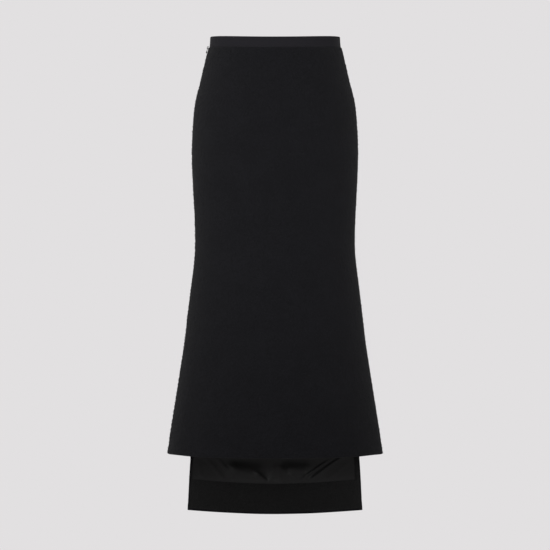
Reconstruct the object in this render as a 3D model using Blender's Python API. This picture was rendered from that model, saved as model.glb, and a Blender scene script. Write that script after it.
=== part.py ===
"""A long narrow skirt that flares below the knee, hollow and filled out as worn, with a longer tail behind.

Metres, +Z up. The wearer faces -Y, the wearer's right side is -X. The origin is the centre of the waist,
at half the height of the waistband, where the wearer's waist holds the skirt.
A place on the cloth is named by two numbers: its turn, in degrees round the body (0 front centre,
+90 the +X side, 180 back centre), and its drop, the height below the origin in millimetres.
"""

import bmesh
import bpy
from math import cos, pi, radians, sin
from mathutils import Matrix, Vector

MM = 0.001

# Cloth thicknesses and gaps, in millimetres.
BOUCLE = 2.2
RIBBON = 1.4
SATIN = 1.0
SEAM_GAP = 0.3
LINING_EASE = 0.5
TURNING = 1.5

# The outer skin of the skirt, in millimetres and degrees, one row for each section.
# front and back are the depths before and behind the side line; seam is the turn of the side seams.
SECTION_COLUMNS = ("drop", "half_width", "front", "back", "seam")
SECTIONS = (
    (-10.5, 131.3, 92.5, 84.5, 90.0),
    (10.5, 133.0, 95.0, 87.0, 90.5),
    (35.0, 139.4, 99.0, 92.0, 92.5),
    (80.0, 149.9, 104.5, 101.0, 96.0),
    (120.0, 159.7, 107.5, 110.5, 98.8),
    (165.0, 164.4, 107.5, 119.5, 101.3),
    (227.0, 166.5, 104.5, 125.5, 104.0),
    (290.0, 164.3, 101.0, 122.0, 106.8),
    (355.0, 160.9, 98.5, 113.5, 109.8),
    (403.0, 160.0, 98.5, 109.0, 112.0),
    (435.0, 161.7, 100.5, 109.0, 113.5),
    (467.0, 165.5, 103.5, 111.0, 114.8),
    (531.0, 173.7, 110.5, 117.5, 117.4),
    (595.0, 181.0, 118.0, 125.5, 119.7),
    (659.0, 190.6, 126.0, 134.5, 121.8),
    (723.0, 200.5, 133.5, 144.0, 123.9),
    (787.0, 210.5, 141.0, 153.0, 125.8),
    (822.5, 214.4, 145.0, 157.5, 126.6),
    (880.0, 222.5, 151.0, 164.0, 127.6),
    (960.0, 234.0, 160.0, 172.5, 129.3),
)

# Waistband: a ribbon, set in from the cloth's face.
BAND_HEIGHT = 21.0
BAND_INSET = 1.6
WAIST_DIP = 6.9

# Hems. The tail's hem is cut on a curve, so that its corners are higher than its middle.
CLOTH_TOP = BAND_HEIGHT / 2 + SEAM_GAP
FRONT_HEM = 821.5
TAIL_HEM = 959.5
TAIL_RISE = 14.5
DIP_FADE = 160.0
RISE_FADE = 130.0

# The last rows of a hem: height over its edge, and how far the turned cloth swells there on each side.
HEM_ROWS = (
    (26.0, 0.0),
    (12.0, 0.78),
    (5.5, 1.3),
    (1.8, 0.91),
    (0.0, -0.55),
)

# Tail facing: the bouclé turned up inside, 64 mm at the hem and 13 mm up the side edges. It ends above
# the hem's roll, and starts a little inside the seam.
TURN_UP = 64.0
SIDE_TURNING = 13.0
SIDE_TURNING_TOP = 806.0
FACING_ROLL = 11.0
FACING_EDGE = 0.8
FACING_ROW = 30.0
FACING_COLUMNS = 22
ARM_COLUMNS = 2
RISE_START = FRONT_HEM - 20.0
FACING_INSET = BOUCLE + SEAM_GAP
OVER_FACING = FACING_INSET + TURNING + SEAM_GAP

# Lining of the back, sewn to the facing at the tail and to the zip's tape beside the seam.
LINING_INSET = BOUCLE + LINING_EASE
LINING_LAP = 4.0
LINING_BAG = (743.0, 802.0)
LINING_ROW = 14.0
LINING_SIDE_FADE = 30.0
PAST_ZIP = (5.0, 30.0)

# The lining's slack at the tail, one row for each fold: where its crest crosses the front hem's level and
# the facing's top edge (millimetres from the back centre, the viewer's right positive), how far it
# stands towards the wearer, and its half width.
FOLD_START = (FRONT_HEM - 40.0, FRONT_HEM - 5.0)
FOLD_FOOT = 12.0
FOLD_REST = 0.35
FOLD_COLUMNS = ("top_at", "foot_at", "height", "half_width")
FOLDS = (
    (-132.0, -112.0, 2.6, 9.0),
    (-106.0, -88.0, 3.6, 10.0),
    (-58.0, -34.0, 3.2, 15.0),
    (-6.0, -6.0, 2.4, 8.0),
    (92.0, 58.0, 3.6, 10.0),
    (134.0, 96.0, 3.4, 11.0),
)

# Zip in the wearer's right seam, in millimetres. The slider sits over the seam just under the band.
ZIP_FOOT = 186.0
TAPE_TOP = 13.0
TAPE_WIDTH = 14.0
TAPE_THICK = 1.0
TAPE_GAP = 0.5
TAPE_COLUMNS = 4
SLIDER_DROP = 10.7
PLATE = (5.0, 7.0, 0.8)
PLATE_BEVEL = 0.25
BRIDGE_BEVEL = 0.3
FOOT_SINK = 0.2
OVERLAP = 0.02
BRIDGE_WIDTH = 1.0
BRIDGE_LENGTH = 5.2
BRIDGE_THICK = 0.8
BRIDGE_ROOM = 1.2
BAR_RADIUS = 0.4
ARM_PLACE = 1.15
ARM_WIDTH = 0.7
ARM_LENGTH = 3.9
ARM_THICK = 0.7
ARM_BEVEL = 0.15

# The pull below its eye, one row for each section: distance from the hinge, width, thickness, and
# how far its middle lies from the hinge towards the cloth.
PULL_COLUMNS = ("along", "width", "thick", "inward")
PULL_SECTIONS = (
    (3.4, 3.0, 0.70, 0.05),
    (4.4, 2.6, 0.70, 0.15),
    (5.6, 1.5, 0.70, 0.55),
    (6.8, 1.6, 0.90, 0.60),
    (7.9, 2.9, 1.70, 0.40),
    (9.2, 3.9, 2.10, 0.30),
    (10.6, 3.7, 1.90, 0.35),
    (11.7, 2.0, 1.10, 0.55),
)
PULL_SIDES = 12

# Rows and columns of the cloth's facets. All pieces share the drops of their rows down to the hems.
FIRST_ROW = 35.0
ROW_STEP = 38.5
FRONT_COLUMNS = 32
BACK_COLUMNS = 26
LINING_BACK_COLUMNS = 36
BAND_COLUMNS = 56
SHARP_EDGE = 50.0

CLOTHS = {
    "boucle": {"colour": (0.012, 0.012, 0.013), "roughness": 0.95, "metallic": 0.0},
    "grosgrain": {"colour": (0.018, 0.018, 0.020), "roughness": 0.65, "metallic": 0.0},
    "satin": {"colour": (0.010, 0.010, 0.010), "roughness": 0.35, "metallic": 0.0},
    "zip_tape": {"colour": (0.012, 0.012, 0.013), "roughness": 0.80, "metallic": 0.0},
    "zip_metal": {"colour": (0.030, 0.030, 0.032), "roughness": 0.40, "metallic": 0.8},
}


def material(name):
    """The named finish, made once."""
    made = bpy.data.materials.get(name)
    if made is None:
        made = bpy.data.materials.new(name)
        made.use_nodes = True
        shader = made.node_tree.nodes["Principled BSDF"]
        shader.inputs["Base Color"].default_value = (*CLOTHS[name]["colour"], 1.0)
        shader.inputs["Roughness"].default_value = CLOTHS[name]["roughness"]
        shader.inputs["Metallic"].default_value = CLOTHS[name]["metallic"]
        made.diffuse_color = (*CLOTHS[name]["colour"], 1.0)
    return made


def between(table, columns, where, at, wanted):
    """A column of a table, read smoothly between its rows: a cubic through them with averaged slopes."""
    along, value = columns.index(where), columns.index(wanted)
    last = len(table) - 1
    at = min(max(at, table[0][along]), table[last][along])
    i = max(k for k in range(last) if table[k][along] <= at)

    def slope(k):
        low, high = max(k - 1, 0), min(k + 1, last)
        return (table[high][value] - table[low][value]) / (table[high][along] - table[low][along])

    span = table[i + 1][along] - table[i][along]
    s = (at - table[i][along]) / span
    return (
        (1 + 2 * s) * (1 - s) ** 2 * table[i][value]
        + s * (1 - s) ** 2 * span * slope(i)
        + s * s * (3 - 2 * s) * table[i + 1][value]
        + s * s * (s - 1) * span * slope(i + 1)
    )


def section(drop, wanted):
    """A size of the skirt's section at this drop."""
    return between(SECTIONS, SECTION_COLUMNS, "drop", drop, wanted)


def smooth(value, start, end):
    """0 before start, 1 after end, an even S between them."""
    s = min(max((value - start) / (end - start), 0.0), 1.0)
    return s * s * (3 - 2 * s)


def skin(turn, drop, inset=0.0):
    """The point of the outer skin at this turn and drop, in metres, moved in level by inset."""
    wide = section(drop, "half_width")
    deep = section(drop, "front" if abs(turn) <= 90 else "back")
    across, ahead = sin(radians(turn)), -cos(radians(turn))
    out = Vector((across / wide, ahead / deep, 0.0)).normalized()
    place = Vector((wide * across, deep * ahead, -drop))
    return (place - out * inset) * MM


def turn_per_mm(turn, drop):
    """How many degrees of turn one millimetre along the cloth is."""
    step = (skin(turn + 0.5, drop) - skin(turn - 0.5, drop)).length / MM
    return 1.0 / step


def waist_dip(turn, drop):
    """The waist runs lower at the front centre, and levels out below."""
    ahead = max(cos(radians(turn)), 0.0)
    fade = 1.0 - smooth(drop, 0.0, DIP_FADE)
    return WAIST_DIP * ahead * ahead * fade


def tail_rise(turn, drop):
    """The tail's hem rises to its corners, and the rows above it less and less."""
    across = skin(turn, TAIL_HEM).x / skin(section(TAIL_HEM, "seam"), TAIL_HEM).x
    fade = smooth(drop, TAIL_HEM - RISE_FADE, TAIL_HEM)
    return TAIL_RISE * across * across * fade


def grid(drops, columns, edge, inset, lower=lambda turn, drop: 0.0):
    """Rows of points over the cloth. edge(drop) gives the first and last turn of the row at that drop,
    inset(turn, drop, row) the distance in from the outer skin, and lower the local change of the drop."""
    rows = []
    for row, drop in enumerate(drops):
        first, last = edge(drop)
        line = []
        for column in range(columns + 1):
            turn = first + (last - first) * column / columns
            at = drop + lower(turn, drop)
            line.append(skin(turn, at, inset(turn, at, row)))
        rows.append(line)
    return rows


def wall(name, finish, outer, inner, keep=lambda row, column: True):
    """A closed wall of cloth between two grids of points, over the cells that keep says."""
    shape = bmesh.new()
    layers = [[[shape.verts.new(p) for p in line] for line in points] for points in (outer, inner)]
    rows, columns = len(outer) - 1, len(outer[0]) - 1

    def kept(row, column):
        return 0 <= row < rows and 0 <= column < columns and keep(row, column)

    def quad(a, b, c, d):
        shape.faces.new((a, b, c))
        shape.faces.new((a, c, d))

    out, back = layers
    for r in range(rows):
        for c in range(columns):
            if not kept(r, c):
                continue
            quad(out[r][c], out[r + 1][c], out[r + 1][c + 1], out[r][c + 1])
            quad(back[r][c], back[r][c + 1], back[r + 1][c + 1], back[r + 1][c])
            if not kept(r - 1, c):
                quad(out[r][c], out[r][c + 1], back[r][c + 1], back[r][c])
            if not kept(r + 1, c):
                quad(out[r + 1][c], back[r + 1][c], back[r + 1][c + 1], out[r + 1][c + 1])
            if not kept(r, c - 1):
                quad(out[r][c], back[r][c], back[r + 1][c], out[r + 1][c])
            if not kept(r, c + 1):
                quad(out[r][c + 1], out[r + 1][c + 1], back[r + 1][c + 1], back[r][c + 1])
    loose = [v for v in shape.verts if not v.link_faces]
    bmesh.ops.delete(shape, geom=loose, context="VERTS")
    return finished(name, finish, shape)


def finished(name, finish, shape):
    """An object from a bmesh, smooth but for its edges, with its finish."""
    bmesh.ops.recalc_face_normals(shape, faces=shape.faces)
    mesh = bpy.data.meshes.new(name)
    shape.to_mesh(mesh)
    shape.free()
    mesh.materials.append(material(finish))
    mesh.shade_smooth()
    mesh.set_sharp_from_angle(angle=radians(SHARP_EDGE))
    made = bpy.data.objects.new(name, mesh)
    bpy.context.scene.collection.objects.link(made)
    return made


def shared_rows(end):
    """The drops of the rows that all pieces share, from under the waistband to half a step before end."""
    rows = [CLOTH_TOP, FIRST_ROW]
    while rows[-1] + 1.4 * ROW_STEP < end:
        rows.append(rows[-1] + ROW_STEP)
    return rows


def spaced(start, end, step):
    """Even steps from start to end, each as near to step as fits, without the end."""
    count = max(1, round((end - start) / step))
    return [start + (end - start) * k / count for k in range(count)]


def panel(name, columns, edge, hem, lower):
    """A panel of bouclé from under the waistband to its rolled hem."""
    above = shared_rows(hem - HEM_ROWS[0][0])
    drops = above + [hem - height for height, _ in HEM_ROWS]
    swell = [0.0] * len(above) + [swelling for _, swelling in HEM_ROWS]
    outer = grid(drops, columns, edge, lambda turn, drop, row: -swell[row], lower)
    inner = grid(drops, columns, edge, lambda turn, drop, row: BOUCLE + min(swell[row], 0.0), lower)
    return wall(name, "boucle", outer, inner)


def seam_edge(drop, side_gap=SEAM_GAP / 2):
    """The turn of the seam at this drop, and half the seam's gap there in degrees."""
    turn = section(drop, "seam")
    return turn, side_gap * turn_per_mm(turn, drop)


def front_edges(drop):
    turn, gap = seam_edge(drop)
    return -turn + gap, turn - gap


def back_edges(drop):
    turn, gap = seam_edge(drop)
    return turn + gap, 360.0 - turn - gap


def front_panel():
    """The front wraps round to the side seams."""
    return panel("front_panel", FRONT_COLUMNS, front_edges, FRONT_HEM, waist_dip)


def back_panel():
    """The back is narrower, and runs on below the front's hem as the tail."""
    return panel(
        "back_panel",
        BACK_COLUMNS,
        back_edges,
        TAIL_HEM,
        lambda turn, drop: -tail_rise(turn, drop),
    )


def waistband():
    """A ribbon that stands on the cloth's top edge. Its two ends meet over the zip."""
    half = BAND_HEIGHT / 2
    drops = (-half, 0.0, half)

    def ends(drop):
        gap = SEAM_GAP / 2 * turn_per_mm(90.0, drop)
        return -90.0 + gap, 270.0 - gap

    outer = grid(drops, BAND_COLUMNS, ends, lambda turn, drop, row: BAND_INSET, band_dip)
    inner = grid(drops, BAND_COLUMNS, ends, lambda turn, drop, row: BAND_INSET + RIBBON, band_dip)
    return wall("waistband", "grosgrain", outer, inner)


def band_dip(turn, drop):
    """The whole ribbon follows the dip of the cloth's top edge."""
    return waist_dip(turn, 0.0)


def facing_top(turn):
    """The drop of the facing's upper edge: parallel to the tail's hem."""
    return TAIL_HEM - tail_rise(turn, TAIL_HEM) - TURN_UP


def fold_height(turn, drop):
    """How far the slack lining stands in from the facing: folds that lean to the middle."""
    across = skin(turn, drop).x / MM
    level = (drop - FRONT_HEM) / (TAIL_HEM - TURN_UP - FRONT_HEM)
    height = 0.0
    for row in FOLDS:
        fold = dict(zip(FOLD_COLUMNS, row))
        crest = fold["top_at"] + (fold["foot_at"] - fold["top_at"]) * level
        away = abs(across - crest) / fold["half_width"]
        if away < 1.0:
            height += fold["height"] * (0.5 + 0.5 * cos(pi * away))
    return height * smooth(drop, *FOLD_START)


def lining_back_edges(drop):
    """The seam above the tail; on the tail the lining covers only the inner edge of the side turnings,
    and beside the zip it ends at the tape."""
    turn, gap = seam_edge(drop)
    at_turning = smooth(drop, SIDE_TURNING_TOP - LINING_SIDE_FADE, SIDE_TURNING_TOP)
    on_tail = at_turning * (SIDE_TURNING - LINING_LAP)
    past_zip = smooth(drop, ZIP_FOOT + PAST_ZIP[0], ZIP_FOOT + PAST_ZIP[1])
    at_zip = (1.0 - past_zip) * (TAPE_WIDTH / 2 + SEAM_GAP)
    inward = gap + on_tail * turn_per_mm(turn, drop)
    return turn + inward, 360.0 - turn - inward - at_zip * turn_per_mm(turn, drop)


def lining_back_inset(turn, drop, row):
    """How far in the lining lies: over the facing at the tail, and its folds flatten at the seam."""
    bag = smooth(drop, *LINING_BAG)
    above_foot = 1.0 - smooth(drop, facing_top(turn) - FOLD_FOOT, facing_top(turn))
    ease = LINING_INSET + (OVER_FACING - LINING_INSET) * bag
    return ease + fold_height(turn, drop) * (FOLD_REST + (1.0 - FOLD_REST) * above_foot)


def lining_back():
    """The lining behind the back: down to the facing, which it laps by a few millimetres."""
    foot = TAIL_HEM - TURN_UP + LINING_LAP
    coarse = shared_rows(LINING_BAG[0] + ROW_STEP)
    drops = coarse[:-1] + spaced(coarse[-1], foot, LINING_ROW) + [foot]

    def rise(turn, drop):
        return -tail_rise(turn, TAIL_HEM) * smooth(drop, RISE_START, foot)

    columns = LINING_BACK_COLUMNS
    outer = grid(drops, columns, lining_back_edges, lining_back_inset, rise)
    inner = grid(
        drops,
        columns,
        lining_back_edges,
        lambda turn, drop, row: lining_back_inset(turn, drop, row) + SATIN,
        rise,
    )
    return wall("lining_back", "satin", outer, inner)


def tail_facing():
    """The bouclé turned up inside the tail, with an arm up each side edge: a U of cloth."""
    foot = TAIL_HEM - FACING_ROLL
    top = TAIL_HEM - TURN_UP
    arm_drops = spaced(SIDE_TURNING_TOP, top, FACING_ROW)
    drops = arm_drops + spaced(top, foot, FACING_ROW) + [foot]

    def edges(drop):
        turn, gap = seam_edge(drop, FACING_EDGE)
        return turn + gap, 360.0 - turn - gap

    def rise(turn, drop):
        return -tail_rise(turn, TAIL_HEM) * smooth(drop, RISE_START, top)

    def points(inset):
        rows = []
        for drop in drops:
            first, last = edges(drop)
            arm = SIDE_TURNING * turn_per_mm(first, drop)
            turns = [first, first + arm / 2, first + arm]
            span = last - first - 2 * arm
            turns += [first + arm + span * k / FACING_COLUMNS for k in range(1, FACING_COLUMNS)]
            turns += [last - arm, last - arm / 2, last]
            rows.append([skin(t, drop + rise(t, drop), inset) for t in turns])
        return rows

    columns = FACING_COLUMNS + 2 * ARM_COLUMNS

    def keep(row, column):
        return row >= len(arm_drops) or column < ARM_COLUMNS or column >= columns - ARM_COLUMNS

    inner = points(FACING_INSET + TURNING)
    return wall("tail_facing", "boucle", points(FACING_INSET), inner, keep)


def zip_tape():
    """The zip's tape inside the wearer's right seam, on the turned edges of the cloth."""
    drops = [TAPE_TOP] + shared_rows(ZIP_FOOT)[1:] + [ZIP_FOOT]
    inset = BOUCLE + TAPE_GAP

    def edges(drop):
        turn = section(drop, "seam")
        half = TAPE_WIDTH / 2 * turn_per_mm(turn, drop)
        return -turn - half, -turn + half

    outer = grid(drops, TAPE_COLUMNS, edges, lambda *_: inset)
    inner = grid(drops, TAPE_COLUMNS, edges, lambda *_: inset + TAPE_THICK)
    return wall("zip_tape", "zip_tape", outer, inner)


def slider_place():
    """The slider's own axes on the seam: X along the hinge, -Y down the seam, Z out of the cloth."""
    low, high = FIRST_ROW, CLOTH_TOP
    upper, lower = (skin(-section(drop, "seam"), drop) for drop in (high, low))
    down = (lower - upper).normalized()
    share = (SLIDER_DROP - high) / (low - high)
    middle = upper.lerp(lower, share)
    plan_out = Vector((middle.x, 0.0, 0.0)).normalized()
    hinge = plan_out.cross(down).normalized()
    out = down.cross(hinge).normalized()
    axes = Matrix((hinge, -down, out)).transposed().to_4x4()
    axes.translation = middle
    return axes


def block(name, size, centre, bevel, segments=2):
    """A block with rounded edges, in millimetres, in the slider's own axes."""
    shape = bmesh.new()
    bmesh.ops.create_cube(shape, size=1.0)
    bmesh.ops.scale(shape, vec=[s * MM for s in size], verts=shape.verts)
    bmesh.ops.translate(shape, vec=[c * MM for c in centre], verts=shape.verts)
    if bevel:
        bmesh.ops.bevel(
            shape,
            geom=list(shape.edges),
            offset=bevel * MM,
            segments=segments,
            affect="EDGES",
            profile=0.5,
        )
    return finished(name, "zip_metal", shape)


def joined(base, others):
    """One body from overlapping ones: a Boolean union, applied, and the other bodies removed."""
    for other in others:
        union = base.modifiers.new("union", "BOOLEAN")
        union.operation = "UNION"
        union.object = other
        graph = bpy.context.evaluated_depsgraph_get()
        mesh = bpy.data.meshes.new_from_object(base.evaluated_get(graph))
        base.modifiers.clear()
        base.data = mesh
        bpy.data.objects.remove(other)
    return base


def bar_height():
    """The hinge's height over the cloth: in the middle of the room under the bridge."""
    return SEAM_GAP + PLATE[2] + BRIDGE_ROOM / 2


def zip_slider(place):
    """A plate over the seam, with the bridge that holds the pull."""
    width, length, thick = PLATE
    plate = block("zip_slider", PLATE, (0, 0, SEAM_GAP + thick / 2), PLATE_BEVEL)
    top = SEAM_GAP + thick + BRIDGE_ROOM
    foot_height = BRIDGE_ROOM + BRIDGE_THICK / 2 + FOOT_SINK
    feet = [
        block(
            "foot",
            (BRIDGE_WIDTH, BRIDGE_THICK, foot_height),
            (0, side * (BRIDGE_LENGTH - BRIDGE_THICK) / 2, top + BRIDGE_THICK / 2 - foot_height / 2),
            0.0,
        )
        for side in (-1, 1)
    ]
    bridge = block(
        "bridge",
        (BRIDGE_WIDTH + OVERLAP, BRIDGE_LENGTH + OVERLAP, BRIDGE_THICK),
        (0, 0, top + BRIDGE_THICK / 2),
        BRIDGE_BEVEL,
    )
    slider = joined(plate, feet + [bridge])
    slider.matrix_world = place
    return slider


def pull_body():
    """The drop below the eye, skinned over its sections."""
    shape = bmesh.new()
    rings = []
    for row in PULL_SECTIONS:
        at = dict(zip(PULL_COLUMNS, row))
        ring = []
        for k in range(PULL_SIDES):
            angle = 2 * pi * k / PULL_SIDES
            across = at["width"] / 2 * cos(angle)
            out = at["thick"] / 2 * sin(angle) - at["inward"]
            ring.append(shape.verts.new(Vector((across, -at["along"], out)) * MM))
        rings.append(ring)
    for a, b in zip(rings, rings[1:]):
        for k in range(PULL_SIDES):
            n = (k + 1) % PULL_SIDES
            shape.faces.new((a[k], a[n], b[n], b[k]))
    shape.faces.new(rings[0])
    shape.faces.new(list(reversed(rings[-1])))
    return finished("drop", "zip_metal", shape)


def zip_pull(place):
    """A bar under the bridge, an arm each side of it, and the drop. Its origin is on the hinge."""
    shape = bmesh.new()
    bmesh.ops.create_cone(
        shape,
        cap_ends=True,
        segments=PULL_SIDES,
        radius1=BAR_RADIUS * MM,
        radius2=BAR_RADIUS * MM,
        depth=(2 * ARM_PLACE + ARM_WIDTH / 2) * MM,
        matrix=Matrix.Rotation(pi / 2, 4, "Y"),
    )
    pull = finished("zip_pull", "zip_metal", shape)
    arms = [
        block(
            "arm",
            (ARM_WIDTH, ARM_LENGTH + BAR_RADIUS, ARM_THICK),
            (side * ARM_PLACE, -(ARM_LENGTH - BAR_RADIUS) / 2, 0.0),
            ARM_BEVEL,
        )
        for side in (-1, 1)
    ]
    pull = joined(pull, arms + [pull_body()])
    hinge = bpy.data.objects.new("pull_hinge", None)
    bpy.context.scene.collection.objects.link(hinge)
    hinge.matrix_world = place @ Matrix.Translation((0, 0, bar_height() * MM))
    pull.parent = hinge
    return hinge


def main():
    for old in list(bpy.data.objects):
        bpy.data.objects.remove(old)
    front_panel()
    back_panel()
    waistband()
    lining_back()
    tail_facing()
    zip_tape()
    place = slider_place()
    zip_slider(place)
    hinge = zip_pull(place)
    bpy.context.view_layer.update()
    print("hinge at", [round(v, 6) for v in hinge.matrix_world.translation])
    print("hinge axis", [round(v, 6) for v in hinge.matrix_world.col[0].xyz])


main()
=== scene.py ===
# %% [markdown]
# # A long bouclé skirt with a longer back
# The skirt hangs as it does on a wearer, with nobody in it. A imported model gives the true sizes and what
# moves. This file dresses it: each plain solid gets a finer piece of cloth over the same form, made in mesh
# code, and a material made of nodes. The scene is in metres and the wearer faces -Y. Sizes of the cloth are
# written in millimetres, as a maker would say them, and MM turns them into metres.

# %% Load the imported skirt
from functools import lru_cache
from math import cos, pi, radians, sin
from random import Random

import bmesh
import bpy
from mathutils import Matrix, Vector, noise


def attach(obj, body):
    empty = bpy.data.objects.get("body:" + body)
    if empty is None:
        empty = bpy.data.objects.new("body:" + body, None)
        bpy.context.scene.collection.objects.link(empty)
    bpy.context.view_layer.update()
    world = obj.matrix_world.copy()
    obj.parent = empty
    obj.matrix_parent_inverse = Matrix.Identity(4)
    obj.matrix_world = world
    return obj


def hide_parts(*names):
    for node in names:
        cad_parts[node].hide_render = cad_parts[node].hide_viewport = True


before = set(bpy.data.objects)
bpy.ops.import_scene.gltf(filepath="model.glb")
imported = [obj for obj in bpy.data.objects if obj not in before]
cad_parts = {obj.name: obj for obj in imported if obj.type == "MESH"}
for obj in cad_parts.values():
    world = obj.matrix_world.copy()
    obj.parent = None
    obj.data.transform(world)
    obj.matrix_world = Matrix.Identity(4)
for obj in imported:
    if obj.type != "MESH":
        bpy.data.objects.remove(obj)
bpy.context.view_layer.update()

MM = 0.001

# %% [markdown]
# ## The form of the skirt
# A skirt is a tube of cloth. Each level of it is two half ellipses, one before the side line and one behind,
# so a short table of half widths and depths describes the whole form. A place on the cloth is then two
# numbers: its turn round the body in degrees (0 in front, 180 behind) and its drop below the waist. All the
# pieces are made from these, so they fit each other without any fitting. The last column is the turn at
# which the side seam runs.

# %% The form's table
def table(columns, *rows):
    """Rows of numbers, each under the name of its column."""
    return [dict(zip(columns.split(), row)) for row in rows]


SECTIONS = table(
    "drop half_width front back seam",
    (-10.5, 131.3, 92.5, 84.5, 90.0),
    (10.5, 133.0, 95.0, 87.0, 90.5),
    (35.0, 139.4, 99.0, 92.0, 92.5),
    (80.0, 149.9, 104.5, 101.0, 96.0),
    (120.0, 159.7, 107.5, 110.5, 98.8),
    (165.0, 164.4, 107.5, 119.5, 101.3),
    (227.0, 166.5, 104.5, 125.5, 104.0),
    (290.0, 164.3, 101.0, 122.0, 106.8),
    (355.0, 160.9, 98.5, 113.5, 109.8),
    (403.0, 160.0, 98.5, 109.0, 112.0),
    (435.0, 161.7, 100.5, 109.0, 113.5),
    (467.0, 165.5, 103.5, 111.0, 114.8),
    (531.0, 173.7, 110.5, 117.5, 117.4),
    (595.0, 181.0, 118.0, 125.5, 119.7),
    (659.0, 190.6, 126.0, 134.5, 121.8),
    (723.0, 200.5, 133.5, 144.0, 123.9),
    (787.0, 210.5, 141.0, 153.0, 125.8),
    (822.5, 214.4, 145.0, 157.5, 126.6),
    (880.0, 222.5, 151.0, 164.0, 127.6),
    (960.0, 234.0, 160.0, 172.5, 129.3),
)
print(len(SECTIONS), "levels, from", SECTIONS[0]["drop"], "to", SECTIONS[-1]["drop"], "mm below the waist")

# %% [markdown]
# Straight lines between the rows of the table would show as bands on the cloth. A cubic through the rows,
# with the average slope at each one, bends like cloth does and still meets every size in the table.

# %% Read the table smoothly
@lru_cache(maxsize=None)
def section(drop, wanted):
    """A size of the skirt's section at this drop."""
    last = len(SECTIONS) - 1
    drop = min(max(drop, SECTIONS[0]["drop"]), SECTIONS[last]["drop"])
    i = max(k for k in range(last) if SECTIONS[k]["drop"] <= drop)

    def slope(k):
        low, high = SECTIONS[max(k - 1, 0)], SECTIONS[min(k + 1, last)]
        return (high[wanted] - low[wanted]) / (high["drop"] - low["drop"])

    above, below = SECTIONS[i], SECTIONS[i + 1]
    span = below["drop"] - above["drop"]
    s = (drop - above["drop"]) / span
    return (
        (1 + 2 * s) * (1 - s) ** 2 * above[wanted]
        + s * (1 - s) ** 2 * span * slope(i)
        + s * s * (3 - 2 * s) * below[wanted]
        + s * s * (s - 1) * span * slope(i + 1)
    )


print("waist", round(2 * section(0.0, "half_width")), "mm wide")
print("hips", round(2 * section(227.0, "half_width")), "mm wide")

# %% [markdown]
# Most of the shaping below is made of two soft steps. One goes from 0 to 1 and stays there, the other goes
# up and comes down again. A straight ramp would leave a crease in the cloth at both of its ends.

# %% A soft step and a soft hump
def smooth(value, start, end):
    """0 before start, 1 after end, an even S between them."""
    s = min(max((value - start) / (end - start), 0.0), 1.0)
    return s * s * (3 - 2 * s)


def hump(value, middle, half_width):
    """1 at the middle, 0 from half_width away, soft between."""
    away = abs(value - middle) / half_width
    return 0.5 + 0.5 * cos(pi * away) if away < 1.0 else 0.0


print("a step in quarters:", [round(smooth(k / 4, 0.0, 1.0), 2) for k in range(5)])

# %% [markdown]
# With the table and the turn, one short function gives any point of the skirt's outside. Moving that point
# straight in, at right angles to the ellipse, gives the layers inside it, each by its own distance.

# %% A point of the skirt
def skin(turn, drop, inset=0.0):
    """The point of the skirt's outside at this turn and drop, moved in level by inset millimetres."""
    drop = round(drop, 2)
    wide = section(drop, "half_width")
    deep = section(drop, "front" if abs(turn) <= 90 else "back")
    across, ahead = sin(radians(turn)), -cos(radians(turn))
    out = Vector((across / wide, ahead / deep, 0.0)).normalized()
    return (Vector((wide * across, deep * ahead, -drop)) - out * inset) * MM


def turn_per_mm(turn, drop):
    """How many degrees of turn one millimetre along the cloth is."""
    return MM / (skin(turn + 0.5, drop) - skin(turn - 0.5, drop)).length


print("one millimetre at the side of the hips is", round(turn_per_mm(90.0, 227.0), 2), "degrees")

# %% [markdown]
# ## Hems and thicknesses
# The waist dips a little in front. The front ends above the ankle, and the back goes on as a tail, whose hem
# is cut on a curve, so its corners are higher than its middle. The bouclé is a thick, spongy cloth. Each bend
# of a hem fades out over some height, so that the cloth above it stays plain.

# %% Sizes of the hems and cloths
BOUCLE, RIBBON, TURNING = 2.2, 1.4, 1.5
BAND_HALF_HEIGHT, BAND_INSET, WAIST_DIP, DIP_HEIGHT = 10.5, 1.6, 6.9, 160.0
CLOTH_TOP, FRONT_HEM, TAIL_HEM = 10.8, 821.5, 959.5
TAIL_RISE, TAIL_RISE_HEIGHT, TURN_UP, SIDE_TURNING = 14.5, 130.0, 68.0, 13.0
CORNER_RISE, CORNER_TURN, CORNER_HALF_WIDTH, CORNER_HEIGHT = 0.9, 65.0, 19.0, 60.0


def waist_dip(turn, drop):
    """The waist runs lower at the front centre, and levels out below."""
    ahead = max(cos(radians(turn)), 0.0)
    return WAIST_DIP * ahead * ahead * (1.0 - smooth(drop, 0.0, DIP_HEIGHT))


def corner_rise(turn, drop):
    """The hem of the front lifts a little towards each side."""
    near = hump(abs(turn), CORNER_TURN, CORNER_HALF_WIDTH)
    return CORNER_RISE * near * smooth(drop, FRONT_HEM - CORNER_HEIGHT, FRONT_HEM)


def tail_rise(turn, drop):
    """The tail's hem rises to its corners, and the rows above it less and less."""
    corner = skin(section(TAIL_HEM, "seam"), TAIL_HEM).x
    across = skin(turn, TAIL_HEM).x / corner
    return TAIL_RISE * across * across * smooth(drop, TAIL_HEM - TAIL_RISE_HEIGHT, TAIL_HEM)


def place_on_cloth(turn, drop, inset):
    """A point of the cloth, with the dip of the waist and the rises of the hems."""
    behind = abs((turn + 180.0) % 360.0 - 180.0) > section(round(drop, 2), "seam")
    shift = -tail_rise(turn, drop) if behind else waist_dip(turn, drop) - corner_rise(turn, drop)
    return skin(turn, drop + shift, inset)


print("front", round(FRONT_HEM + BAND_HALF_HEIGHT), "mm long, back", round(TAIL_HEM + BAND_HALF_HEIGHT))

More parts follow.
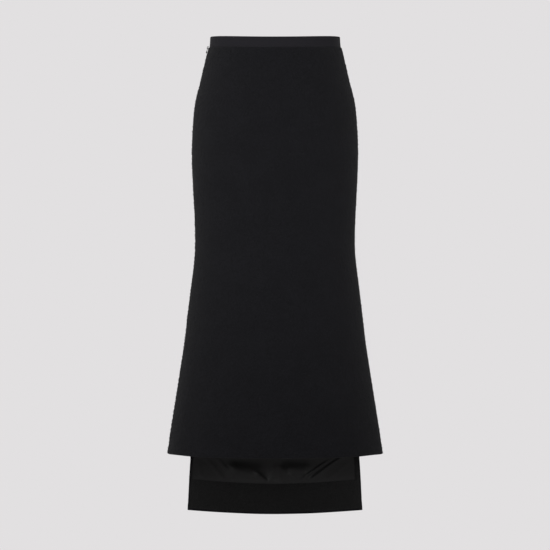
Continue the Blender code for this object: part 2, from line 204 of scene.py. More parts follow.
# %% [markdown]
# ## Cloth as a closed shell
# A panel of cloth has a right side, a wrong side and edges. One grid can make all three: its rows run down
# the right side, round the hem and up the wrong side, and its first and last columns draw in to the middle of
# the cloth's thickness, so the edges come out round. A turned-up hem is thicker over its last centimetre and
# a half.

# %% Rows and columns of a panel
HEM_SWELL, HEM_SWELL_HEIGHT = 1.1, 16.0
ROUND_EDGE = ((0.0, 0.3), (0.15, 0.6), (0.5, 0.88), (1.0, 1.0))
ROUND_TOP = ((0.0, 0.0), (0.1, 0.5), (0.5, 0.87))


def steps(start, end, count):
    """Even steps from start to end, with both of them."""
    return [start + (end - start) * k / count for k in range(count + 1)]


def hem_swell(drop, hem):
    return HEM_SWELL * hump(drop, hem - HEM_SWELL_HEIGHT / 3, HEM_SWELL_HEIGHT)


def round_columns(count, thick):
    """Columns of a panel: (share across, millimetres from that edge, how much of the thickness)."""
    left = [(0.0, far * thick / 2, full) for far, full in ROUND_EDGE]
    middle = [(k / count, 0.0, 1.0) for k in range(1, count)]
    right = [(1.0, -far * thick / 2, full) for far, full in reversed(ROUND_EDGE)]
    return left + middle + right


def round_rows(top, hem, outer, inner, thick, turned_up=False):
    """Rows of a panel: (drop, layer from 1 outside to -1 inside, swelling in millimetres)."""
    def swollen(drop):
        return hem_swell(drop, hem) if turned_up else 0.0

    half = thick / 2
    rows = [(top + far * half, full, 0.0) for far, full in ROUND_TOP]
    rows += [(drop, 1.0, swollen(drop)) for drop in steps(top + half, hem - half, outer)]
    for angle in (30, 60, 90, 120, 150):
        rows.append((hem - half + half * sin(radians(angle)), cos(radians(angle)), swollen(hem)))
    rows += [(drop, -1.0, swollen(drop)) for drop in steps(hem - half, top + half, inner)]
    rows += [(top + far * half, -full, 0.0) for far, full in reversed(ROUND_TOP)]
    return rows


print("a plain strip of ribbon has", len(round_rows(0.0, 21.0, 16, 6, RIBBON)), "rows of points")

# %% [markdown]
# The grid becomes a mesh face by face. It also gets its UV, the flat map of the cloth, in metres, so that a
# weave can run along the piece. The wrong side needs fewer rows than the right side, so triangles fill the
# side edges between the two. Welding what meets then closes the shell.

# %% The shell
WELD = 0.00002


def into_scene(name, data):
    """An object in the scene, from a mesh, a lamp or a camera."""
    made = bpy.data.objects.new(name, data)
    bpy.context.scene.collection.objects.link(made)
    return made


def piece(name, mesh):
    """An object from a bmesh."""
    data = bpy.data.meshes.new(name)
    mesh.to_mesh(data)
    mesh.free()
    print(name, len(data.polygons), "faces")
    return into_scene(name, data)


def close_side(mesh, points, rows, column):
    """Triangles between the outer and the inner rows at a side edge, which have different spacing."""
    hem = max(range(len(rows)), key=lambda r: rows[r][0])
    outer, inner = 0, len(rows) - 1
    while outer < hem or inner > hem:
        step_outer = inner == hem or (outer < hem and rows[outer + 1][0] <= rows[inner - 1][0])
        if step_outer:
            corners = (outer, inner, outer + 1)
            outer += 1
        else:
            corners = (outer, inner, inner - 1)
            inner -= 1
        if len(set(corners)) == 3:
            mesh.faces.new([points[r][column] for r in corners]).smooth = True


def shell(name, rows, columns, place, closed=True):
    """A mesh over a grid: place(row, column) gives the point and its UV, in metres of cloth."""
    mesh = bmesh.new()
    uv = mesh.loops.layers.uv.new("cloth")
    spots = [[place(row, column) for column in columns] for row in rows]
    points = [[mesh.verts.new(point) for point, _ in line] for line in spots]
    for r in range(len(rows) - 1):
        for c in range(len(columns) - 1):
            around = ((r, c), (r + 1, c), (r + 1, c + 1), (r, c + 1))
            face = mesh.faces.new([points[a][b] for a, b in around])
            face.smooth = True
            for loop, (a, b) in zip(face.loops, around):
                loop[uv].uv = spots[a][b][1]
    if closed:
        close_side(mesh, points, rows, 0)
        close_side(mesh, points, rows, -1)
        bmesh.ops.remove_doubles(mesh, verts=mesh.verts, dist=WELD)
    bmesh.ops.recalc_face_normals(mesh, faces=mesh.faces)
    return piece(name, mesh)


print("points closer than", WELD / MM, "mm are welded")

# %% [markdown]
# ## Bouclé: nubs in the mesh
# Bouclé yarn is spun with loops, so the cloth has small round nubs a few millimetres across, and no thread
# of the weave shows. A cell pattern, which measures how far each point is from the nearest of many scattered
# seeds, gives such nubs. They are moved out in the mesh, so that the outline is uneven too. Around the zip's
# slider the pile is pressed flat, or it would stand through the metal.

# %% Nubs, and where they are calm
NUB_SIZE, NUB_HEIGHT, PILE_DEPTH = 0.0042, 0.85, 0.4
UNEVEN, SMALL_WAVES, LARGE_WAVES = 0.25, 90.0, 14.0
SLIDER_DROP = 10.7
SLIDER = skin(-section(SLIDER_DROP, "seam"), SLIDER_DROP)
PRESSED_TO, FREE_FROM = 0.009, 0.022
TOP_SWELL, TURNED_IN_TO, PLAIN_FROM = 0.75, 24.0, 36.0


def free_of_slider(point):
    """0 where the slider presses the cloth flat, 1 well away from it."""
    return smooth((point - SLIDER).length, PRESSED_TO, FREE_FROM)


def nubs(point):
    """How far the pile stands out here, in millimetres; its ground lies a little deeper than its curls."""
    nearest = noise.voronoi(point / NUB_SIZE)[0][0]
    uneven = UNEVEN * noise.noise(point * SMALL_WAVES) + UNEVEN * noise.noise(point * LARGE_WAVES)
    return ((0.5 - nearest) * NUB_HEIGHT + uneven - PILE_DEPTH) * free_of_slider(point)


def top_swell(point, drop):
    """Under the band the cloth is turned in, which makes it thicker, but not at the slider."""
    return TOP_SWELL * (1.0 - smooth(drop, TURNED_IN_TO, PLAIN_FROM)) * free_of_slider(point)


print("nubs of", NUB_SIZE / MM, "mm, calm near", [round(v, 3) for v in SLIDER])

# %% [markdown]
# ## Drape
# The cloth hangs almost smooth. Below the knee the flare starts to fall in very shallow flutes, most of them
# towards the back, where the photo doesn't show them. Each has its own place, depth and start, because even
# flutes would look pleated.

# %% Shallow flutes of the flare
FLUTES = table(
    "turn half_width depth start",
    (-64.0, 17.0, 0.9, 560.0),
    (-101.0, 14.0, 2.2, 520.0),
    (38.0, 22.0, 0.7, 600.0),
    (79.0, 15.0, 1.2, 540.0),
    (112.0, 13.0, 2.0, 580.0),
    (146.0, 15.0, 2.4, 500.0),
    (171.0, 12.0, 1.6, 610.0),
    (203.0, 17.0, 2.7, 540.0),
    (232.0, 11.0, 1.9, 600.0),
)


def flutes(turn, drop):
    """How far the flare's flutes stand out, in millimetres."""
    out = 0.0
    for flute in FLUTES:
        away = (turn - flute["turn"] + 180.0) % 360.0 - 180.0
        if abs(away) < flute["half_width"]:
            grown = smooth(drop, flute["start"], FRONT_HEM)
            out += flute["depth"] * grown * hump(away, 0.0, flute["half_width"])
    return out


print(len(FLUTES), "flutes, the deepest", max(flute["depth"] for flute in FLUTES), "mm")

# %% [markdown]
# ## Where the two panels end
# The front is one piece of cloth that wraps round to seams set towards the back, and the back is narrower and
# longer. Sewn edges press together a little, so that no light comes through. Over the zip they only lie side
# by side. Below the front hem the edges of the tail have no neighbour, and are turned in a little further.

# %% Edges of the panels
SEWN, ZIPPED = -0.12, 0.15
OPENING_CLOSES = (191.0, 216.0)
LEFT_TRIM, RIGHT_TRIM = 0.8, 2.2
TRIM_ABOVE, TRIM_BELOW = 4.0, 22.0


def seam_turns(drop, side_gap):
    """Where the front ends and the back starts at the wearer's left; the gap is below 0 where they press."""
    turn = section(round(drop, 2), "seam")
    gap = side_gap * turn_per_mm(turn, drop)
    return turn - gap, turn + gap


def zip_side(drop):
    """Half the distance between the panels at the wearer's right: open over the zip, pressed below it."""
    return ZIPPED + (SEWN - ZIPPED) * smooth(drop, *OPENING_CLOSES)


def tail_trim(drop, whole):
    """How much further in the tail's edge is turned than the seam above it, in millimetres."""
    return whole * smooth(drop, FRONT_HEM - TRIM_ABOVE, FRONT_HEM + TRIM_BELOW)


def front_edges(drop):
    return -seam_turns(drop, zip_side(drop))[0], seam_turns(drop, SEWN)[0]


def back_edges(drop):
    first, after = seam_turns(drop, SEWN)[1], seam_turns(drop, zip_side(drop))[1]
    one = turn_per_mm(first, drop)
    return first + tail_trim(drop, LEFT_TRIM) * one, 360.0 - after - tail_trim(drop, RIGHT_TRIM) * one


print("at the hips the front reaches", [round(turn, 1) for turn in front_edges(227.0)], "degrees round")

# %% [markdown]
# ## The two panels
# Both panels are cut by one function. It takes the shell, and adds to its outside the nubs, the flutes and
# the places where the cloth is double. The pile is lower round the hem and in the edges, which leaves a soft
# groove along the seams. The wrong side has no pile and a fifth of the rows, because it hardly shows.

# %% A panel of bouclé
PILE_ROUND_HEM, WRONG_SIDE = 0.25, -0.9


def boucle_panel(name, across, down, hem, edges):
    """Rows down the right side and back up the wrong side, columns from seam to seam."""
    rows = round_rows(CLOTH_TOP, hem, down, down // 5, BOUCLE, turned_up=True)
    columns = round_columns(across, BOUCLE)

    def place(row, column):
        drop, layer, swell = row
        share, from_edge, full = column
        first, last = edges(drop)
        turn = first + (last - first) * share + from_edge * turn_per_mm(first, drop)
        here = skin(turn, drop)
        pile = nubs(here) * max(layer, PILE_ROUND_HEM) * full if layer > WRONG_SIDE else 0.0
        face = (BOUCLE / 2 + swell) * layer * full
        turned_in = top_swell(here, drop) * max(layer, 0.0) * full
        inset = BOUCLE / 2 - face - pile - turned_in - flutes(turn, drop)
        wide = radians(turn) * section(round(drop, 2), "half_width") * MM
        return place_on_cloth(turn, drop, inset), (wide, -drop * MM)

    return shell(name, rows, columns, place)


front_cloth = boucle_panel("front_cloth", 290, 238, FRONT_HEM, front_edges)
back_cloth = boucle_panel("back_cloth", 205, 262, TAIL_HEM, back_edges)

# %% [markdown]
# ## Loops of yarn
# Here and there a loop of the yarn stands free of the pile, which gives bouclé its rough outline. Each is a
# small arch of thin tube. A curve with a bevel would make one, but thousands of curves are slow to handle, so
# the few points of each arch are worked out, and all the arches of a panel are written into one mesh.

# %% One arch of yarn
LOOP_POINTS, LOOP_SIDES = 5, 3


def cloth_axes(turn, drop):
    """Three directions at a place of the cloth: along it, down it and out of it."""
    here = skin(turn, drop)
    along = (skin(turn + 0.3, drop) - here).normalized()
    down = (skin(turn, drop + 1.0) - here).normalized()
    out = down.cross(along).normalized()
    if out.dot(Vector((here.x, here.y, 0.0))) < 0:
        out.negate()
    return along, down, out


def arch_points(foot, side, rise, width, height, thread):
    """Small rings of points over half a turn, from one foot of the arch to the other."""
    third = side.cross(rise).normalized()
    points = []
    for p in range(LOOP_POINTS):
        angle = pi * p / (LOOP_POINTS - 1)
        middle = foot + side * width * cos(angle) + rise * height * sin(angle)
        radial = side * cos(angle) + rise * sin(angle)
        for s in range(LOOP_SIDES):
            around = 2 * pi * s / LOOP_SIDES
            points.append(middle + (radial * cos(around) + third * sin(around)) * thread)
    return points


def arch_faces(start):
    """The faces between the rings of the arch whose first point has this number."""
    faces = []
    for p in range(LOOP_POINTS - 1):
        for s in range(LOOP_SIDES):
            a, b = start + p * LOOP_SIDES + s, start + p * LOOP_SIDES + (s + 1) % LOOP_SIDES
            faces.append((a, b, b + LOOP_SIDES, a + LOOP_SIDES))
    return faces


print("an arch has", len(arch_faces(0)), "faces")

# %% [markdown]
# Loops spread by chance alone would gather in clumps. Two steps that never line up, taken round and round
# the panel's height and width, fill it evenly instead. Chance then leaves some out where the skirt is narrow,
# so that they aren't denser there, and gives each loop its own size, direction and lean.

# %% Spread loops over a panel
EVEN_ACROSS, EVEN_DOWN = 0.7548776662, 0.5698402910
BELOW_TOP, OFF_HEM, OFF_SEAM, OFF_SLIDER = 1.5, 2.0, 0.003, 0.017
LOOP_HALF_WIDTH, LOOP_HEIGHT, THREAD_RANGE = (0.8, 1.5), (0.5, 1.15), (0.8, 1.25)
LOOP_RADIUS, LOOP_SINK, LEAN_WAY, LEAN_RANGE = 0.30, 0.15, 1.6, (-0.5, 0.5)


def yarn_loops(name, count, hem, edges, seed):
    """One mesh of small arches standing on the pile."""
    chance = Random(seed)
    points, faces = [], []
    for k in range(count):
        drop = CLOTH_TOP + BELOW_TOP + (hem - CLOTH_TOP - OFF_HEM) * ((k * EVEN_DOWN) % 1.0)
        first, last = edges(drop)
        share = OFF_SEAM + (1.0 - 2 * OFF_SEAM) * ((k * EVEN_ACROSS) % 1.0)
        widest = section(round(drop, 2), "half_width") / section(hem, "half_width")
        if chance.random() > widest:
            continue
        turn = first + (last - first) * share
        here = skin(turn, drop)
        if (here - SLIDER).length < OFF_SLIDER:
            continue
        thick = hem_swell(drop, hem) + top_swell(here, drop) + flutes(turn, drop)
        foot = place_on_cloth(turn, drop, LOOP_SINK - nubs(here) - thick)
        along, down, out = cloth_axes(turn, drop)
        way = chance.uniform(0.0, 2 * pi)
        side = along * cos(way) + down * sin(way)
        aslant = along * cos(way + LEAN_WAY) + down * sin(way + LEAN_WAY)
        rise = (out + aslant * chance.uniform(*LEAN_RANGE)).normalized()
        width, height = chance.uniform(*LOOP_HALF_WIDTH) * MM, chance.uniform(*LOOP_HEIGHT) * MM
        thread = LOOP_RADIUS * chance.uniform(*THREAD_RANGE) * MM
        faces += arch_faces(len(points))
        points += arch_points(foot, side, rise, width, height, thread)
    data = bpy.data.meshes.new(name)
    data.from_pydata(points, [], faces)
    data.shade_smooth()
    print(name, len(points) // (LOOP_POINTS * LOOP_SIDES), "loops")
    return into_scene(name, data)


front_loops = yarn_loops("front_loops", 9000, FRONT_HEM, front_edges, seed=3)
back_loops = yarn_loops("back_loops", 6600, TAIL_HEM, back_edges, seed=5)

# %% [markdown]
# ## The waistband
# A grosgrain ribbon finishes the waist. It is thinner than the bouclé, so it lies a little further in, and
# its two ends meet over the zip. Its lower edge tucks in behind the cloth, where the seam is. The same shell
# makes it, with the ribbon's two faces and its woven edges. Ribbon that is sewn on is never quite even, so
# two slow waves ease it in and out by a fraction of a millimetre.

# %% The ribbon
TUCK, TUCK_DEPTH, TUCK_ABOVE, TUCK_BELOW = 1.6, 0.9, 1.2, 0.6
WAIST_RADIUS = 0.131
EASES = table("depth waves shift", (0.18, 5, 40), (0.12, 13, 0))


def ribbon_ease(turn):
    """How far the ribbon is eased out here, in millimetres."""
    return sum(ease["depth"] * sin(radians(turn * ease["waves"] + ease["shift"])) for ease in EASES)


def waistband_ribbon():
    rows = round_rows(-BAND_HALF_HEIGHT, BAND_HALF_HEIGHT + TUCK, 16, 6, RIBBON)
    columns = round_columns(300, RIBBON)

    def place(row, column):
        drop, layer, _ = row
        share, from_edge, full = column
        one = turn_per_mm(90.0, drop)
        gap = ZIPPED * one
        turn = -90.0 + gap + (360.0 - 2 * gap) * share + from_edge * one
        tucked = TUCK_DEPTH * smooth(drop, BAND_HALF_HEIGHT - TUCK_ABOVE, BAND_HALF_HEIGHT + TUCK_BELOW)
        middle = BAND_INSET + tucked + RIBBON / 2
        inset = middle - RIBBON / 2 * layer * full - ribbon_ease(turn) * (1.0 - tucked)
        return skin(turn, drop + waist_dip(turn, 0.0), inset), (radians(turn) * WAIST_RADIUS, -drop * MM)

    return shell("waistband_ribbon", rows, columns, place)


ribbon = waistband_ribbon()

# %% [markdown]
# ## The lining of the back
# Black satin hangs inside the back and shows below the front hem. It is sewn to the facing of the tail with
# some slack, which bags over the seam and folds into leaning creases. A cloth simulation would make folds of
# its own, but not these. So a table places each crease by where it comes from under the front hem and where
# it reaches the facing, measured from the centre of the back, and the creases are as uneven as real ones.

# %% Creases of the satin
LINING_FOOT, FOLD_TOP, FOLD_FOOT, FOLD_GROWS = 895.5, 852.0, 892.0, 22.0
FOLDS = table(
    "top_at foot_at height half_width start",
    (-164.0, -154.0, 0.4, 10.0, 830.0),
    (-139.0, -107.0, 0.8, 11.0, 830.0),
    (-115.0, -87.0, 1.7, 10.0, 832.0),
    (-60.0, -17.0, 2.3, 10.0, 862.0),
    (-9.0, -10.0, 1.2, 9.0, 830.0),
    (6.0, 42.0, 1.4, 10.0, 855.0),
    (108.0, 50.0, 2.2, 9.5, 838.0),
    (127.0, 72.0, 2.9, 12.0, 832.0),
    (158.0, 112.0, 0.4, 12.0, 840.0),
)


def crease(fold, across, drop):
    """How far one crease stands out at this distance from the centre of the back."""
    level = (drop - FOLD_TOP) / (FOLD_FOOT - FOLD_TOP)
    crest = fold["top_at"] + (fold["foot_at"] - fold["top_at"]) * level
    grown = smooth(drop, fold["start"], fold["start"] + FOLD_GROWS)
    return fold["height"] * hump(across, crest, fold["half_width"]) * grown


print(len(FOLDS), "creases, the highest", max(fold["height"] for fold in FOLDS), "mm")

# %% [markdown]
# A second table gives the bags that hang between the creases. Each is fullest at its own drop, and may be
# lower at one side. Light comes to the satin from below, because the front covers it, so it is dark where a
# bag faces up, and brighter where the bag turns back to the seam and faces the floor.

# %% Bags of the satin
BAGS = table(
    "middle half_width depth start fullest end lean",
    (-61.0, 48.0, 8.0, 843.0, 876.0, 903.0, 12.0),
    (45.0, 38.0, 7.2, 842.0, 873.0, 903.0, 4.0),
    (8.0, 17.0, 2.0, 848.0, 868.0, 888.0, 0.0),
)
FLAT_MIDDLE = 0.45
HELD_BY_SEAM, HELD_ABOVE, HELD_BELOW = 0.8, 6.0, 4.0
SWAG_DEPTH, SWAG_DROP, SWAG_HALF_HEIGHT = 4.2, 816.0, 42.0
FOOT_DEPTH, FOOT_FROM, FOOT_TO = 1.9, 866.0, LINING_FOOT - 2.0


def bagging(bag, across, drop):
    """How far one bag hangs out here."""
    fullest = bag["fullest"] + bag["lean"] * (across - bag["middle"]) / bag["half_width"]
    hang = smooth(drop, bag["start"], fullest) * (1.0 - smooth(drop, fullest, bag["end"]))
    away = abs(across - bag["middle"])
    return bag["depth"] * (1.0 - smooth(away, FLAT_MIDDLE * bag["half_width"], bag["half_width"])) * hang


def slack(turn, drop):
    """How far the satin stands towards the wearer at the tail, in millimetres."""
    across = skin(turn, drop).x / MM
    out = 0.0
    for fold in FOLDS:
        out += crease(fold, across, drop)
    for bag in BAGS:
        out += bagging(bag, across, drop)
    out *= 1.0 - HELD_BY_SEAM * smooth(drop, FOLD_FOOT - HELD_ABOVE, FOLD_FOOT + HELD_BELOW)
    swag = SWAG_DEPTH * hump(drop, SWAG_DROP, SWAG_HALF_HEIGHT)
    return out + swag + FOOT_DEPTH * smooth(drop, FOOT_FROM, FOOT_TO)


print("at the centre of the back the satin hangs out by", round(slack(180.0, 868.0), 1), "mm")

# %% [markdown]
# The lining itself is one open sheet, because satin is too thin for its edge to show. Its rows lie close
# together only where the creases are. It keeps clear of the zip, steps over the facing of the tail, and ends
# further in at the wearer's left than at the right, as the photo shows.

# %% The satin
LAYER_GAP = 0.3
FACING_INSET = BOUCLE + LAYER_GAP
OVER_FACING = FACING_INSET + TURNING + LAYER_GAP
LINING_ROWS = ((CLOTH_TOP, 700.0, 70), (706.0, 820.0, 20), (821.2, LINING_FOOT, 66))
NARROWS, STEPS_OVER = (776.0, 806.0), (743.0, 802.0)
SEAM_EASE, LEFT_IN, RIGHT_IN, BESIDE_ZIP = 0.2, 11.5, 1.2, 7.3
LINING_GAP, CLOSER_BELOW = 0.6, 0.4
SWAY, SWAY_ACROSS, SWAY_DOWN = 0.35, 0.09, 0.012
RISE_ABOVE_HEM, TAIL_RADIUS = 20.0, 0.16


def back_lining():
    rows = [drop for start, end, count in LINING_ROWS for drop in steps(start, end, count)]
    columns = steps(0.0, 1.0, 250)

    def place(drop, share):
        turn = section(round(drop, 2), "seam")
        one = turn_per_mm(turn, drop)
        tail = smooth(drop, *NARROWS)
        at_zip = (1.0 - smooth(drop, *OPENING_CLOSES)) * BESIDE_ZIP
        first = turn + (SEAM_EASE + LEFT_IN * tail) * one
        last = 360.0 - turn - (SEAM_EASE + RIGHT_IN * tail + tail_trim(drop, RIGHT_TRIM) + at_zip) * one
        turn = first + (last - first) * share
        ease = BOUCLE + LINING_GAP + (OVER_FACING - BOUCLE - CLOSER_BELOW) * smooth(drop, *STEPS_OVER)
        soft = SWAY * noise.noise(Vector((turn * SWAY_ACROSS, drop * SWAY_DOWN, 4.0)))
        rise = tail_rise(turn, TAIL_HEM) * smooth(drop, FRONT_HEM - RISE_ABOVE_HEM, LINING_FOOT)
        point = skin(turn, drop - rise, ease + slack(turn, drop) + soft)
        return point, (radians(turn) * TAIL_RADIUS, -drop * MM)

    return shell("satin_lining", rows, columns, place, closed=False)


lining = back_lining()

# %% [markdown]
# ## The facing of the tail
# The bouclé of the tail is turned up inside: 68 mm at the hem, and 13 mm along each side edge, where the
# turned edge goes up past the end of the seam. Three strips of closed cloth, joined in one piece, make the U.
# The side strips lie a little nearer to the tail than the turn-up does, so that it covers their ends.

# %% Turn-up and side turnings
FACING_TOP, TURN_UP_TOP = 806.0, TAIL_HEM - TURN_UP
INSIDE_TAIL_HEM, SIDES_OVERLAP, SIDES_LIFT = 5.0, 6.0, -0.15
EDGE_IN, PILE_INSIDE, OTHER_NUBS = 0.8, 0.55, 1.01


def facing_strip(name, top, foot, turns, across, down, lift):
    """A strip of the facing between two drops; turns(drop) gives its first and last turn."""
    rows = round_rows(top, foot, down, 8, TURNING)
    columns = round_columns(across, TURNING)

    def place(row, column):
        drop, layer, _ = row
        share, from_edge, full = column
        first, last = turns(drop)
        turn = first + (last - first) * share + from_edge * turn_per_mm(first, drop)
        pile = nubs(skin(turn, drop) * OTHER_NUBS) * PILE_INSIDE * max(-layer, 0.0) * full
        inset = FACING_INSET + lift + TURNING / 2 - TURNING / 2 * layer * full + pile
        rise = tail_rise(turn, TAIL_HEM) * smooth(drop, FRONT_HEM - RISE_ABOVE_HEM, TURN_UP_TOP)
        return skin(turn, drop - rise, inset), (radians(turn) * TAIL_RADIUS, -drop * MM)

    return shell(name, rows, columns, place)


print("the turn-up goes from", TURN_UP_TOP, "to", TAIL_HEM - INSIDE_TAIL_HEM, "mm below the waist")

# %% [markdown]
# Each strip needs to know at which turns it starts and ends at any drop. All four edges follow from one, the
# folded edge of the tail: the inner edges are its copies 13 mm further in, and those at the wearer's right
# mirror those at the left, but for their own small trim.

# %% The three strips
def tail_edge(drop, trim, further=0.0):
    """The turn of the facing's edge, or of a place further in, as at the wearer's left."""
    turn = section(round(drop, 2), "seam")
    return turn + (EDGE_IN + tail_trim(drop, trim) + further) * turn_per_mm(turn, drop)


def left_turning(drop):
    return tail_edge(drop, LEFT_TRIM), tail_edge(drop, LEFT_TRIM, SIDE_TURNING)


def right_turning(drop):
    return 360.0 - tail_edge(drop, RIGHT_TRIM, SIDE_TURNING), 360.0 - tail_edge(drop, RIGHT_TRIM)


def whole_tail(drop):
    return tail_edge(drop, LEFT_TRIM), 360.0 - tail_edge(drop, RIGHT_TRIM)


def join(base, others):
    """One mesh from several, as a dressmaker's piece is one."""
    with bpy.context.temp_override(active_object=base, selected_editable_objects=[base] + others):
        bpy.ops.object.join()
    return base


facing = facing_strip("tail_turn_up", TURN_UP_TOP, TAIL_HEM - INSIDE_TAIL_HEM, whole_tail, 170, 34, 0.0)
turnings = [
    facing_strip(name, FACING_TOP, TURN_UP_TOP + SIDES_OVERLAP, turns, 8, 44, SIDES_LIFT)
    for name, turns in (("left_turning", left_turning), ("right_turning", right_turning))
]
join(facing, turnings)

# %% [markdown]
# ## The zip
# A short zip closes the seam on the wearer's right. Its two tapes lie on the turned edges of the cloth
# inside, with the coil between them. Only the slider and its pull show outside, just under the band. The
# coil is a thread of nylon bent into teeth, and a short leaning bar for each tooth looks just like it.

# %% Tapes and coil
ZIP_TOP, ZIP_FOOT = 13.0, 186.0
TAPE_INSET, TAPE_THICK, TAPE_NEAR, TAPE_FAR = BOUCLE + 0.5, 0.7, 0.9, 7.0
TOOTH_PITCH, TOOTH_LEAN, TOOTH_REACH, TOOTH_RADIUS, TOOTH_INSET = 1.25, 0.28, 1.35, 0.42, 0.45
COIL_ENDS = 3.0


def zip_tape(name, near, far):
    """One tape of the zip, from near to far millimetres beside the seam."""
    rows = round_rows(ZIP_TOP, ZIP_FOOT, 60, 20, TAPE_THICK)
    columns = round_columns(10, TAPE_THICK)

    def place(row, column):
        drop, layer, _ = row
        share, from_edge, full = column
        turn = -section(round(drop, 2), "seam")
        one = turn_per_mm(turn, drop)
        turn += (near + (far - near) * share + from_edge) * one
        inset = TAPE_INSET + TAPE_THICK / 2 - TAPE_THICK / 2 * layer * full
        return place_on_cloth(turn, drop, inset), (turn / one * MM, -drop * MM)

    return shell(name, rows, columns, place)


def round_bar(mesh, radius, length, matrix, sides):
    """A bar of the same radius at both ends, which is a cone that doesn't narrow."""
    sizes = {"radius1": radius, "radius2": radius, "depth": length}
    bmesh.ops.create_cone(mesh, cap_ends=True, segments=sides, matrix=matrix, **sizes)


def zip_coil():
    """The coil: one bent turn of nylon for each tooth, leaning to left and right in turn."""
    mesh = bmesh.new()
    for k in range(int((ZIP_FOOT - ZIP_TOP - 2 * COIL_ENDS) / TOOTH_PITCH)):
        drop = ZIP_TOP + COIL_ENDS + k * TOOTH_PITCH
        turn = -section(round(drop, 2), "seam")
        reach = TOOTH_REACH * turn_per_mm(turn, drop)
        lean = TOOTH_LEAN if k % 2 else -TOOTH_LEAN
        left = place_on_cloth(turn - reach, drop - lean, TAPE_INSET + TOOTH_INSET)
        right = place_on_cloth(turn + reach, drop + lean, TAPE_INSET + TOOTH_INSET)
        way = right - left
        turned = way.to_track_quat("Z", "Y").to_matrix().to_4x4()
        turned.translation = (left + right) / 2
        round_bar(mesh, TOOTH_RADIUS * MM, way.length, turned, sides=6)
    return piece("zip_coil", mesh)


tape = join(zip_tape("zip_tapes", -TAPE_FAR, -TAPE_NEAR), [zip_tape("other_tape", TAPE_NEAR, TAPE_FAR)])
coil = zip_coil()

# %% [markdown]
# The pull swings on a small bar under the slider's bridge, so it is made on axes of its own: the bar along X
# and the drop down -Y. It is placed on the skirt last, by one matrix. Those axes come from two levels of the
# table just below the band, where the seam runs almost straight.

# %% The hinge of the pull
BAR_HEIGHT, BAR_RADIUS = 1.7, 0.4
FIRST_ROW = 35.0


def hinge_place():
    """The hinge's axes: X along the bar, -Y down the seam, Z out of the cloth."""
    upper, lower = (skin(-section(drop, "seam"), drop) for drop in (CLOTH_TOP, FIRST_ROW))
    down = (lower - upper).normalized()
    middle = upper.lerp(lower, (SLIDER_DROP - CLOTH_TOP) / (FIRST_ROW - CLOTH_TOP))
    hinge = Vector((middle.x, 0.0, 0.0)).normalized().cross(down).normalized()
    out = down.cross(hinge).normalized()
    axes = Matrix((hinge, -down, out)).transposed().to_4x4()
    axes.translation = middle + out * BAR_HEIGHT * MM
    return axes


print("hinge at", [round(v, 4) for v in hinge_place().translation])

# %% [markdown]
# The drop is cast metal, so it is quite smooth. A short table gives its width and thickness at a few distances
# from the hinge, and how far its middle lies towards the cloth. A soft step leads from each row to the next.

# %% Sizes of the drop
PULL_SECTIONS = table(
    "along width thick inward",
    (3.0, 2.9, 0.80, -0.05),
    (4.4, 2.6, 0.90, -0.05),
    (5.6, 1.6, 1.00, 0.05),
    (6.8, 1.8, 1.25, 0.10),
    (7.9, 3.0, 1.95, 0.00),
    (9.2, 3.9, 2.35, -0.05),
    (10.5, 3.7, 2.15, 0.00),
    (11.3, 2.7, 1.60, 0.10),
    (11.7, 0.6, 0.40, 0.20),
)


def pull_size(along, wanted):
    """A size of the drop at this distance from the hinge."""
    last = len(PULL_SECTIONS) - 1
    i = max(k for k in range(last) if PULL_SECTIONS[k]["along"] <= along + 1e-6)
    low, high = PULL_SECTIONS[i], PULL_SECTIONS[i + 1]
    return low[wanted] + (high[wanted] - low[wanted]) * smooth(along, low["along"], high["along"])


print("the drop is", max(row["width"] for row in PULL_SECTIONS), "mm wide at its widest")

# %% [markdown]
# Rings of points over the table make the drop, joined by faces and closed at both ends. An arm on each side
# of the bridge joins the bar to it. The arms are small boxes with their edges rounded off, because a sharp
# edge catches no light.

# %% The zip's pull
PULL_RINGS, PULL_SIDES, SHARP_ANGLE = 40, 24, 40
ARM_PLACE, ARM_WIDTH, ARM_LENGTH, ARM_THICK, ARM_ROUNDING = 1.15, 0.7, 3.9, 0.7, 0.2


def cast_drop(mesh):
    """The drop: rings joined into a skin, with a face at both ends."""
    rings = []
    for along in steps(PULL_SECTIONS[0]["along"], PULL_SECTIONS[-1]["along"], PULL_RINGS):
        ring = []
        for k in range(PULL_SIDES):
            angle = 2 * pi * k / PULL_SIDES
            across = pull_size(along, "width") / 2 * cos(angle)
            out = pull_size(along, "thick") / 2 * sin(angle) - pull_size(along, "inward")
            ring.append(mesh.verts.new(Vector((across, -along, out)) * MM))
        rings.append(ring)
    for a, b in zip(rings, rings[1:]):
        for k in range(PULL_SIDES):
            after = (k + 1) % PULL_SIDES
            mesh.faces.new((a[k], a[after], b[after], b[k]))
    mesh.faces.new(rings[0])
    mesh.faces.new(rings[-1])


def bar_and_arms(mesh):
    along_bar = Matrix.Rotation(pi / 2, 4, "Y")
    round_bar(mesh, BAR_RADIUS * MM, (2 * ARM_PLACE + ARM_WIDTH / 2) * MM, along_bar, sides=PULL_SIDES)
    for side in (-1, 1):
        size = Matrix.Diagonal((ARM_WIDTH * MM, (ARM_LENGTH + BAR_RADIUS) * MM, ARM_THICK * MM, 1.0))
        centre = Matrix.Translation(Vector((side * ARM_PLACE, -(ARM_LENGTH - BAR_RADIUS) / 2, 0.0)) * MM)
        arm = bmesh.ops.create_cube(mesh, size=1.0, matrix=centre @ size)["verts"]
        edges = list({edge for vert in arm for edge in vert.link_edges})
        rounding = {"offset": ARM_ROUNDING * MM, "segments": 3, "profile": 0.5}
        bmesh.ops.bevel(mesh, geom=edges, affect="EDGES", **rounding)


